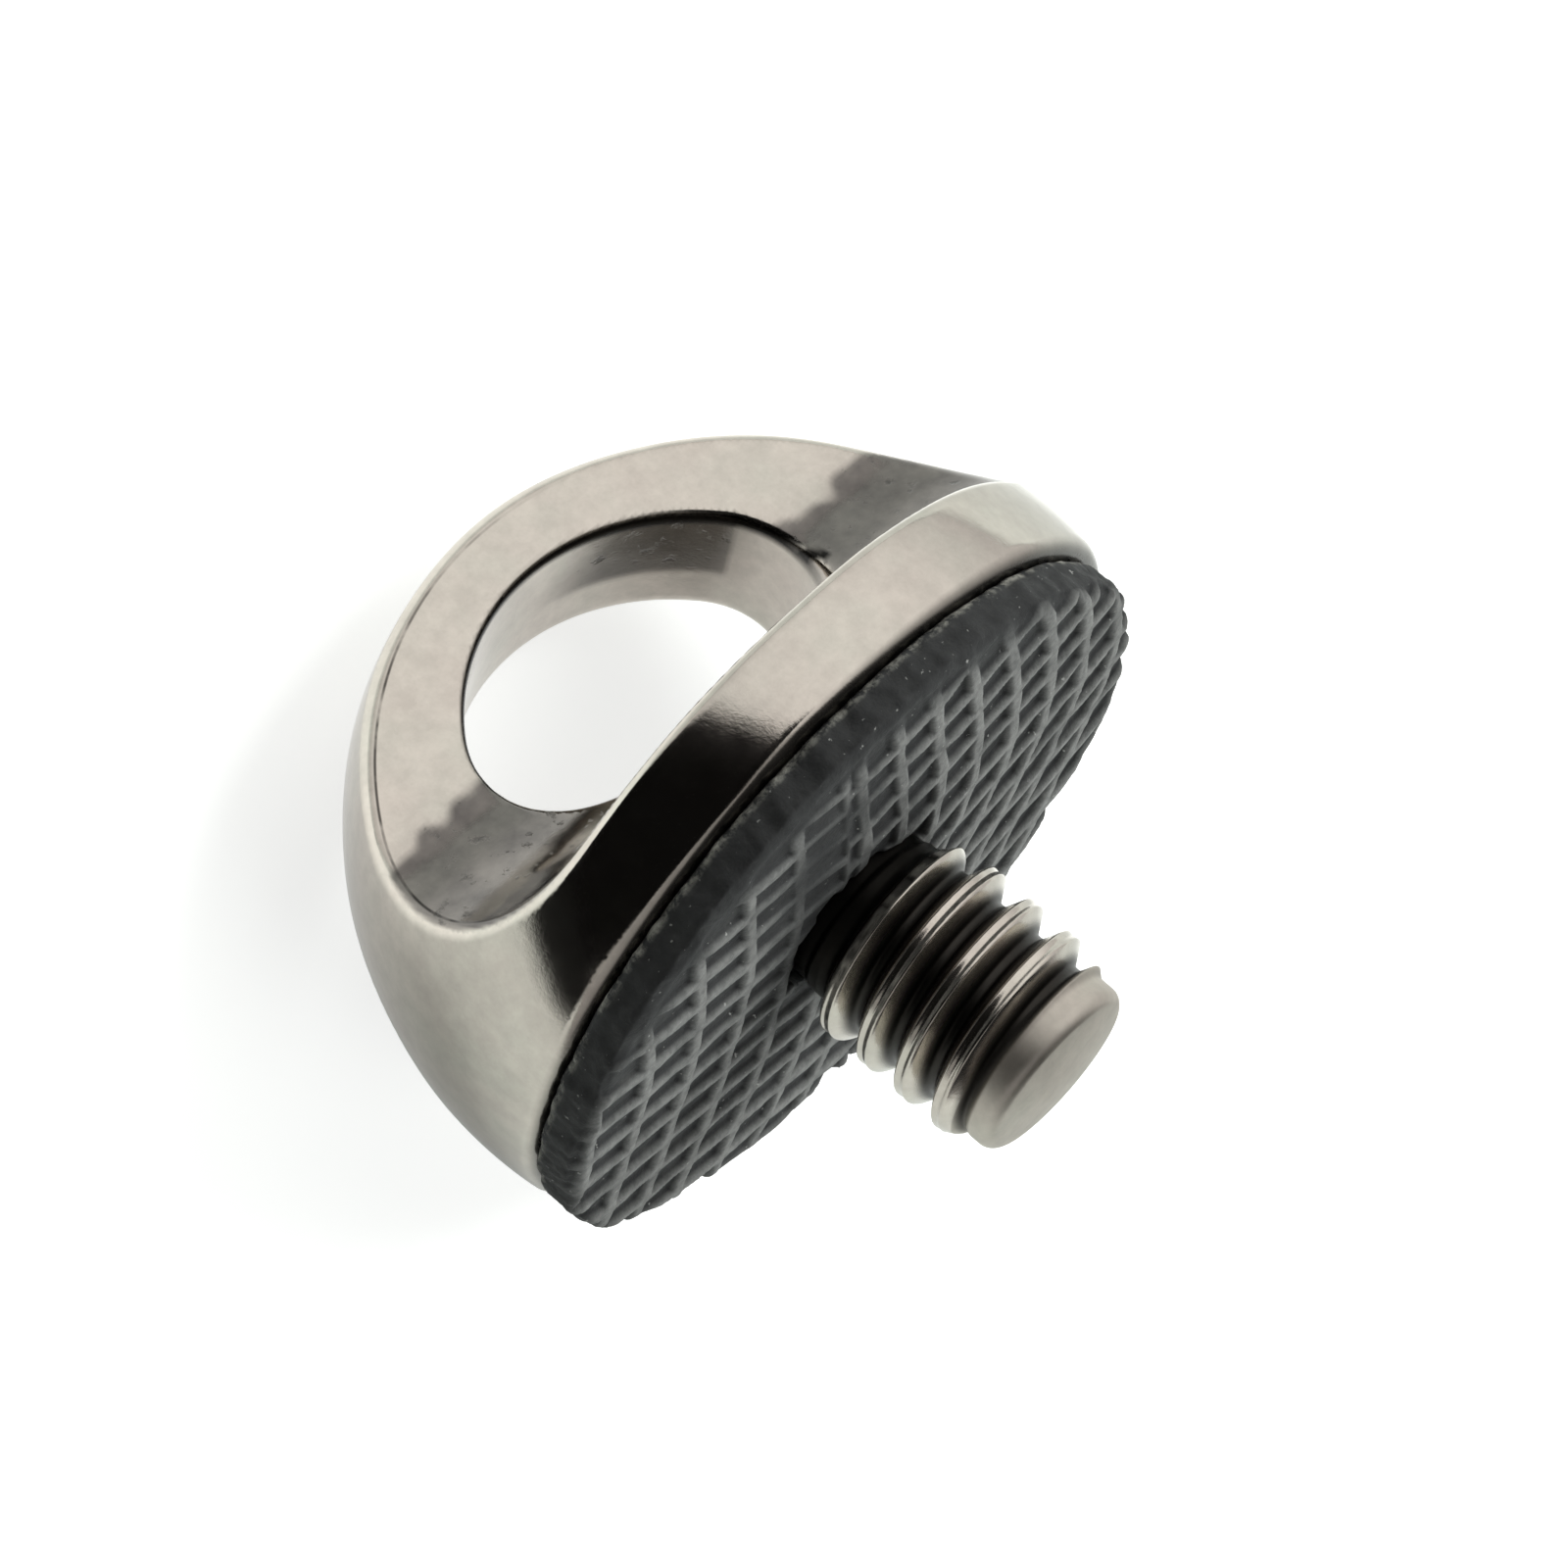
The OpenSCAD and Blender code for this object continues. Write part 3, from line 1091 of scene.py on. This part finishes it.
    def section(self) -> list[tuple[float, float]]:
        """Gives the half section before the thread is cut: a plain rod with a domed end.

        Returns:
            Pairs of a radius and a height.
        """
        rows = self.rows()
        profile = [(0.0, rows[0])]
        profile += [(self.neck_r * t, rows[0]) for t in (0.5, 1.0)]
        profile += [(self.neck_r, h) for h in rows[1:]]
        end_h = self.end_gap - self.length
        flat_r = self.tip_r - self.tip_edge
        for t in np.linspace(0.0, math.radians(self.edge_turn), 14)[1:]:
            across, down = math.cos(t), math.sin(t)
            profile.append((flat_r + self.tip_edge * across, end_h + self.tip_edge * (1.0 - down)))
        last_r, last_h = profile[-1]
        for t in (0.92, 0.84, 0.74, 0.6, 0.45, 0.3, 0.15, 0.0):
            profile.append((last_r * t, last_h - self.dome * (1.0 - t * t)))
        return profile

    def turned_radius(self, angle: np.ndarray, h: np.ndarray, tip_join: np.ndarray) -> np.ndarray:
        """Gives the radius of the finished stud: neck, thread, taper and end.

        Args:
            angle: Angle round the stud in radians.
            h: Height.
            tip_join: 0 on the thread and 1 on the smooth end.

        Returns:
            One radius for each pair.
        """
        cut = self.root_r + (self.thread_r - self.root_r) * self.thread(angle, h)
        taper_from, taper_len = self.taper
        taper = np.clip((-h - (self.length - taper_from)) / taper_len, 0.0, 1.0)
        limit = self.thread_r - (self.thread_r - self.tip_r) * taper
        full = np.minimum(cut, limit)
        full = self.root_r + (full - self.root_r) * smooth_step(-h, *self.start)
        full = self.neck_r + (full - self.neck_r) * smooth_step(-h, *self.sunk)
        return full * (1 - tip_join) + self.tip_r * tip_join


def spun(name: str, profile: Sequence[tuple[float, float]], steps: int) -> bpy.types.Object:
    """Spins a half section round the upright axis.

    Args:
        name: The new object's name.
        profile: Pairs of a radius and a height, along the half section.
        steps: How many steps make the full turn.

    Returns:
        The closed mesh.
    """
    corners = [(r, 0.0, h) for r, h in profile]
    mesh = bpy.data.meshes.new(name)
    mesh.from_pydata(corners, [(i, i + 1) for i in range(len(corners) - 1)], [])
    obj = bpy.data.objects.new(name, mesh)
    bpy.context.scene.collection.objects.link(obj)
    select_only(obj)
    bpy.ops.object.mode_set(mode="EDIT")
    bpy.ops.mesh.select_all(action="SELECT")
    bpy.ops.mesh.spin(steps=steps, angle=2 * math.pi, center=(0.0, 0.0, 0.0), axis=(0.0, 0.0, 1.0))
    bpy.ops.mesh.select_all(action="SELECT")
    bpy.ops.mesh.remove_doubles(threshold=0.0005)
    bpy.ops.mesh.normals_make_consistent(inside=False)
    bpy.ops.object.mode_set(mode="OBJECT")
    return obj


@dataclass
class GripWasher:
    """The rubber washer with its lattice of grip ridges.

    Attributes:
        outer_r: Its radius.
        hole_r: Radius of the hole that grips the neck.
        thickness: Its thickness over the ridges.
        edge_r: Radius of its outer edge.
        shift_x: How far it sits off the stud's axis, along the plate.
        ridge_h: Height of the ridges.
        crest_half: Half the width of a ridge's top.
        foot_half: Half the width of its foot.
        left_long: Place of one long ridge in the left field, and the spacing.
        left_cross: The same for the ridges that cross them.
        right_long: Place of one long ridge in the right field, and the spacing.
        right_cross: The same for the ridges that cross them.
        steps: How many steps go round the washer.
        face_rows: How many rings the outer face has.
        warp: The slow waves of the ridges' paths.
        ragged: The uneven width and height of the ridges, and the ragged rim.
        frayed: The finest unevenness of the rim.
    """

    outer_r: float = 10.6
    hole_r: float = 2.42
    thickness: float = WASHER_T
    edge_r: float = 0.42
    shift_x: float = -0.2
    ridge_h: float = 0.22
    crest_half: float = 0.14
    foot_half: float = 0.33
    left_long: tuple[float, float] = (-8.27, 1.9)
    left_cross: tuple[float, float] = (3.2, 1.45)
    right_long: tuple[float, float] = (6.62, 1.4)
    right_cross: tuple[float, float] = (-2.0, 1.7)
    steps: int = 660
    face_rows: int = 98
    warp: WaveNoise = field(default_factory=lambda: WaveNoise(9.0, seed=11))
    ragged: WaveNoise = field(default_factory=lambda: WaveNoise(1.1, count=40, seed=13))
    frayed: WaveNoise = field(default_factory=lambda: WaveNoise(0.35, count=40, seed=17))

    def lattice(self, x: np.ndarray, y: np.ndarray) -> np.ndarray:
        """Gives the height of the ridges, from 0 to 1.

        The ridges were cut in two fields that meet along a slanted line near the middle.

        Args:
            x: Distance along the eye plate.
            y: Distance across it.

        Returns:
            One value for each position.
        """
        p = np.stack([x, y, np.zeros_like(x)], axis=1)
        sway = 0.07 * self.warp.at(p)
        width = 1.0 + 0.12 * self.ragged.at(p * 0.6)
        bow = x + 0.0167 * (y - 1.2) ** 2
        left_long = self.ridges(bow + sway, width, self.left_long)
        left_cross = self.ridges(y - 0.13 * x + sway, width, self.left_cross)
        arch = x + 0.75 * (np.hypot(1.0, (y + 1.9) / 2.5) - 1.0)
        right_long = self.ridges(arch + sway, width, self.right_long)
        fall = y + 0.38 * x + 0.014 * (x - 1.0) ** 2
        right_cross = self.ridges(fall + sway, width, self.right_cross)
        side = smooth_step(x - (0.225 * y - 0.25), -0.25, 0.25)
        left = np.maximum(left_long, left_cross)
        return left * (1.0 - side) + np.maximum(right_long, right_cross) * side

    def ridges(
        self, value: np.ndarray, width: np.ndarray, row: tuple[float, float]
    ) -> np.ndarray:
        """Gives the height of one row of ridges, from 0 to 1.

        Args:
            value: Distance across the ridges.
            width: What the width of a ridge is multiplied by.
            row: Place of one ridge, and the spacing.

        Returns:
            One height for each distance.
        """
        first, gap = row
        turn = (value - first) / gap
        off = np.abs(turn - np.round(turn)) * gap
        return 1.0 - smooth_step(off, self.crest_half * width, self.foot_half * width)

    def wear(self, x: np.ndarray, y: np.ndarray) -> np.ndarray:
        """Gives how much of the ridges is left, from 0 to 1.

        Args:
            x: Distance along the eye plate.
            y: Distance across it.

        Returns:
            One value for each position.
        """
        r = np.hypot(x, y)
        angle = np.degrees(np.arctan2(y, x))
        near = smooth_step(angle, -172.0, -150.0) * (1.0 - smooth_step(angle, -75.0, -55.0))
        band = near * smooth_step(r, 9.2, 10.1)
        worn = np.exp(-(((x + 2.6) / 2.0) ** 2) - ((y + 6.0) / 2.7) ** 2)
        middle = np.exp(-(((x + 1.2) / 2.6) ** 2) - ((y + 0.6) / 3.2) ** 2)
        left = 1.0 - 0.8 * band - 0.7 * worn - 0.62 * middle
        patchy = 0.93 + 0.13 * self.ragged.at(np.stack([x, y, 0 * x], axis=1) * 0.5)
        return np.clip(left * patchy, 0.0, 1.0)

    def build(self, finish: Finish) -> bpy.types.Object:
        """Models the washer.

        Args:
            finish: Its material.

        Returns:
            The finished washer in the upright millimetre frame.
        """
        t = self.thickness
        washer = spun("grip_washer_rubber", self.section(), self.steps)
        p = coords_of(washer)
        r = np.hypot(p[:, 0], p[:, 1])
        x, y = p[:, 0].copy(), p[:, 1].copy()
        bottom = smooth_step(-p[:, 2], t - 0.45, t - 0.02)
        relief = self.lattice(x, y) * self.wear(x, y)
        inner = smooth_step(r, self.hole_r, self.hole_r + 0.35)
        p[:, 2] += bottom * (self.ridge_h * (1.0 - relief) + 0.05 * (1.0 - inner))
        change = self.rim_change(p, x, y, (relief - 0.6) * bottom)
        scale = np.where(r > 1e-6, (r + change) / np.maximum(r, 1e-6), 1.0)
        p[:, 0] *= scale
        p[:, 1] *= scale
        p[:, 0] += self.shift_x
        write_coords(washer, p)
        select_only(washer)
        bpy.ops.object.shade_smooth()
        write_attribute(washer, "ridge", bottom * relief)
        rim = smooth_step(r, self.outer_r - 0.5, self.outer_r - 0.1)
        lip = smooth_step(p[:, 2], -0.34, -0.1) * rim
        write_attribute(washer, "edge", lip)
        # painted shade on the side wall
        wall = smooth_step(r, self.outer_r - 0.45, self.outer_r - 0.05)
        # an oily smudge round the stud, darkened further as painted shadow of the stud
        painted_shade_and_smudge = np.exp(-(((x + 1.4) / 2.3) ** 2) - ((y + 0.4) / 2.9) ** 2)
        dark = np.clip(0.4 * wall * (1.0 - lip) + 0.7 * painted_shade_and_smudge, 0.0, 1.0)
        write_attribute(washer, "dark", dark)
        washer.data.materials.append(finish.material)
        return washer

    def rim_change(
        self, p: np.ndarray, x: np.ndarray, y: np.ndarray, teeth: np.ndarray
    ) -> np.ndarray:
        """Gives how far the ragged rim stands out, with the ridges' ends as teeth and one dent.

        Args:
            p: Positions in mm, after the ridges were pressed in.
            x: Distance along the eye plate.
            y: Distance across it.
            teeth: The height of the ridges there, over their middle height.

        Returns:
            One distance for each position.
        """
        outer = smooth_step(np.hypot(x, y), self.outer_r - 1.2, self.outer_r)
        angle = np.degrees(np.arctan2(y, x))
        far = smooth_step(angle, 10.0, 40.0) * (1.0 - smooth_step(angle, 150.0, 175.0))
        rough = 0.045 * self.ragged.at(p * np.array([1.0, 1.0, 0.4]))
        rough = rough + 0.02 * self.frayed.at(p)
        dent = 0.35 * np.exp(-(((x + 5.0) / 2.0) ** 2 + ((y - 9.0) / 2.0) ** 2))
        return outer * (rough - 0.1 + (0.04 + 0.09 * far) * teeth - dent)

    def section(self) -> list[tuple[float, float]]:
        """Gives the half section before the ridges are pressed in.

        Returns:
            Pairs of a radius and a height.
        """
        t = self.thickness
        edge_from = self.outer_r - self.edge_r
        profile = [(float(r), -t) for r in np.linspace(self.hole_r, edge_from, self.face_rows)]
        for a in np.linspace(0.0, math.pi / 2, 8)[1:]:
            across, down = self.edge_r * math.sin(a), self.edge_r * math.cos(a)
            profile.append((edge_from + across, -t + self.edge_r - down))
        profile += [(self.outer_r, -t + h) for h in np.linspace(self.edge_r, t - 0.2, 8)[1:]]
        profile += [(self.outer_r - inward, h) for inward, h in ((0.05, -0.1), (0.15, -0.03))]
        profile += [(self.outer_r - 0.4, 0.0), (6.0, 0.0), (self.hole_r + 0.1, 0.0)]
        profile += [(self.hole_r, -0.1), (self.hole_r, -0.7), profile[0]]
        return profile


@dataclass
class Studio:
    """The pale floor, the soft light and the camera at the photograph's angle.

    Attributes:
        floor_h: Height of the floor in mm.
        camera_at: Place of the camera in mm.
        camera_right: The camera's own sideways axis.
        camera_up: Its upward axis.
        camera_back: Its backward axis.
        lens: Its focal length in mm.
        paper: Colour of the floor.
        floor_lift: How much the floor glows for the camera, which makes it white.
        mirrored_lift: The least and the most that it glows in the metal's reflections.
        bright_side: Direction in which the mirrored floor grows bright.
        dark_side: Direction of the dark card on the floor.
        opening_at: Direction of the middle of the tent's dark opening.
        opening: Its lowest and highest angle across, then up, in degrees.
        second_zone: The same for a dim place on the right, as azimuth, then height.
        dim_zone: The azimuths of the tent's dim half.
        card_zone: The azimuths of the dark card.
        zone_losses: What the dim half, the second zone and the opening take from the light.
        tent: Brightness of the tent.
        key_at: Direction of its brightest place.
        key_extra: How much brighter it is there.
    """

    floor_h: float = -10.842
    camera_at: tuple[float, float, float] = (-75.68335, -92.718, 159.14387)
    camera_right: tuple[float, float, float] = (0.45959, 0.66245, 0.59156)
    camera_up: tuple[float, float, float] = (-0.81088, 0.58469, -0.02478)
    camera_back: tuple[float, float, float] = (-0.36229, -0.4683, 0.80588)
    lens: float = 180.0
    paper: tuple[float, float, float, float] = (0.54, 0.57, 0.55, 1.0)
    floor_lift: float = 0.70
    mirrored_lift: tuple[float, float] = (0.11, 0.62)
    bright_side: tuple[float, float, float] = (-0.8, 0.6, 0.0)
    dark_side: tuple[float, float, float] = (-0.42, -0.91, 0.0)
    opening_at: tuple[float, float, float] = (-0.55403, -0.79124, 0.25882)
    opening: tuple[float, float, float, float] = (-35.0, 36.0, -30.0, 62.0)
    second_zone: tuple[float, float, float, float] = (-38.0, 46.0, 4.0, 84.0)
    dim_zone: tuple[float, float] = (-152.0, 38.0)
    card_zone: tuple[float, float] = (-158.0, -82.0)
    zone_losses: tuple[float, float, float] = (0.5, 0.93, 0.985)
    tent: float = 0.74
    key_at: tuple[float, float, float] = (-0.52, 0.45, 0.72)
    key_extra: float = 0.31

    def build(self) -> None:
        """Adds the floor, the world, the lamps and the camera."""
        bpy.context.scene.view_settings.view_transform = "Standard"
        self.floor()
        self.world()
        self.lamps()
        self.camera()

    def floor(self) -> None:
        """Adds the floor, white to the camera apart from the shadow."""
        bpy.ops.mesh.primitive_plane_add(size=4.0, location=(0.0, 0.0, 0.0))
        floor = bpy.context.active_object
        floor.name = "floor"
        floor.location.z = self.floor_h * MM
        bpy.ops.object.transform_apply(location=True)
        material = bpy.data.materials.new("pale_floor")
        material.use_nodes = True
        nodes, links = material.node_tree.nodes, material.node_tree.links
        nodes.clear()
        out = nodes.new("ShaderNodeOutputMaterial")
        paper = nodes.new("ShaderNodeBsdfDiffuse")
        paper.inputs["Color"].default_value = self.paper
        glow = nodes.new("ShaderNodeEmission")
        ray = nodes.new("ShaderNodeLightPath")
        where = nodes.new("ShaderNodeTexCoord").outputs["Object"]
        sums = NodeSums(material.node_tree)
        low, high = self.mirrored_lift
        mirrored = sums.rise(sums.along(where, self.bright_side), -8.0 * MM, 6.0 * MM, low, high)
        far = sums.maths(
            "MAXIMUM", sums.along(where, (0.0, 1.0, 0.0)), sums.along(where, self.bright_side)
        )
        fading = sums.rise(far, 14.0 * MM, 32.0 * MM, 1.0, 0.15)
        mirrored = sums.maths("MULTIPLY", mirrored, fading)
        lift = nodes.new("ShaderNodeMix")
        links.new(ray.outputs["Is Camera Ray"], lift.inputs[0])
        links.new(mirrored, lift.inputs[2])
        lift.inputs[3].default_value = self.floor_lift
        links.new(lift.outputs[0], glow.inputs["Strength"])
        both = nodes.new("ShaderNodeAddShader")
        links.new(paper.outputs["BSDF"], both.inputs[0])
        links.new(glow.outputs["Emission"], both.inputs[1])
        dark = nodes.new("ShaderNodeBsdfDiffuse")
        dark.inputs["Color"].default_value = (0.01, 0.01, 0.01, 1.0)
        away = sums.rise(sums.along(where, self.dark_side), 40.0 * MM, 62.0 * MM)
        card = sums.maths("MULTIPLY", away, sums.window(sums.azimuth(where), *self.card_zone, 6.0))
        unseen = sums.maths("SUBTRACT", card, ray.outputs["Is Camera Ray"])
        mix = nodes.new("ShaderNodeMixShader")
        links.new(unseen, mix.inputs["Fac"])
        links.new(both.outputs["Shader"], mix.inputs[1])
        links.new(dark.outputs["BSDF"], mix.inputs[2])
        links.new(mix.outputs["Shader"], out.inputs["Surface"])
        floor.data.materials.append(material)

    def world(self) -> None:
        """Adds a white tent round the object, with a wide dark opening at the camera's side."""
        world = bpy.data.worlds.new("tent")
        bpy.context.scene.world = world
        world.use_nodes = True
        nodes, links = world.node_tree.nodes, world.node_tree.links
        nodes.clear()
        where = nodes.new("ShaderNodeTexCoord").outputs["Generated"]
        sums = NodeSums(world.node_tree)
        middle = Vector(self.opening_at)
        across = Vector((0.0, 0.0, 1.0)).cross(middle).normalized()
        upward = middle.cross(across)
        turn = sums.maths(
            "ARCTAN2", sums.along(where, tuple(across)), sums.along(where, tuple(middle))
        )
        climb = sums.maths("ARCSINE", sums.along(where, tuple(upward)), 0.0)
        first = sums.maths(
            "MULTIPLY",
            sums.window(turn, *self.opening[:2], 3.0),
            sums.window(climb, *self.opening[2:], 3.0),
        )
        azimuth = sums.azimuth(where)
        height = sums.maths("ARCSINE", sums.along(where, (0.0, 0.0, 1.0)), 0.0)
        second = sums.maths(
            "MULTIPLY",
            sums.window(azimuth, *self.second_zone[:2], 7.0),
            sums.window(height, *self.second_zone[2:], 6.0),
        )
        dim = sums.window(azimuth, *self.dim_zone, 7.0)
        key = sums.rise(sums.along(where, self.key_at), 0.55, 0.97)
        level = sums.maths("ADD", sums.maths("MULTIPLY", key, self.key_extra), self.tent)
        for zone, loss in zip((dim, second, first), self.zone_losses):
            kept = sums.maths("ADD", sums.maths("MULTIPLY", zone, -loss), 1.0)
            level = sums.maths("MULTIPLY", level, kept)
        tent = nodes.new("ShaderNodeBackground")
        links.new(level, tent.inputs["Strength"])
        tent.inputs["Color"].default_value = (1.0, 0.99, 0.97, 1.0)
        white = nodes.new("ShaderNodeBackground")
        white.inputs["Color"].default_value = (1.0, 1.0, 1.0, 1.0)
        white.inputs["Strength"].default_value = 1.0
        ray = nodes.new("ShaderNodeLightPath")
        mix = nodes.new("ShaderNodeMixShader")
        links.new(ray.outputs["Is Camera Ray"], mix.inputs["Fac"])
        links.new(tent.outputs["Background"], mix.inputs[1])
        links.new(white.outputs["Background"], mix.inputs[2])
        out = nodes.new("ShaderNodeOutputWorld")
        links.new(mix.outputs["Shader"], out.inputs["Surface"])

    def lamps(self) -> None:
        """Adds two soft lamps, which the polished metal doesn't mirror."""
        for name, at, size, power in (
            ("back_lamp", (-0.02, 0.34, 0.42), 0.35, 3.0),
            ("right_lamp", (0.42, 0.05, 0.22), 0.30, 1.5),
        ):
            data = bpy.data.lights.new(name, "AREA")
            data.size = size
            data.energy = power
            lamp = bpy.data.objects.new(name, data)
            bpy.context.scene.collection.objects.link(lamp)
            lamp.location = at
            lamp.rotation_euler = Vector(at).to_track_quat("Z", "Y").to_euler()
            lamp.visible_glossy = False

    def camera(self) -> None:
        """Adds the camera at the photograph's place."""
        data = bpy.data.cameras.new("camera")
        data.lens = self.lens
        data.sensor_width = 36.0
        data.clip_start = 0.005
        camera = bpy.data.objects.new("camera", data)
        bpy.context.scene.collection.objects.link(camera)
        axes = (self.camera_right, self.camera_up, self.camera_back, Vector(self.camera_at) * MM)
        rows = [[axis[i] for axis in axes] for i in range(3)]
        place = Matrix([*rows, [0.0, 0.0, 0.0, 1.0]])
        camera.matrix_world = place
        bpy.context.scene.camera = camera


@dataclass
class Adapter:
    """The whole strap adapter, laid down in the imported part's frame.

    Attributes:
        metal: Finish of the head and of the stud.
        rubber: Finish of the washer.
        head: The cast head.
        stud: The threaded stud.
        washer: The grip washer.
    """

    metal: Finish
    rubber: Finish
    head: CastHead = field(default_factory=CastHead)
    stud: Stud = field(default_factory=Stud)
    washer: GripWasher = field(default_factory=GripWasher)

    def lay_down(self, piece: bpy.types.Object, nodes: Sequence[str]) -> None:
        """Moves a finished piece into the frame and hands it over.

        Args:
            piece: The piece in the upright millimetre frame.
            nodes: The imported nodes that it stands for.
        """
        select_only(piece)
        piece.matrix_world = lying_matrix()
        bpy.ops.object.transform_apply(location=True, rotation=True, scale=True)
        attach(piece, "root")
        for node in nodes:
            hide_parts(node)
        mesh = piece.data
        LOG.info("%s: %d vertices, %d faces", piece.name, len(mesh.vertices), len(mesh.polygons))

    def build(self) -> None:
        """Models the three pieces in turn."""
        self.lay_down(self.head.build(self.metal), ["eyelet_body"])
        self.lay_down(self.stud.build(self.metal), [])
        self.lay_down(self.washer.build(self.rubber), ["grip_washer"])


def main() -> None:
    """Builds the studio and the adapter."""
    logging.basicConfig(level=logging.INFO)
    Studio().build()
    Adapter(metal=PlatedMetal(), rubber=GripRubber()).build()


if __name__ == "__main__":
    main()
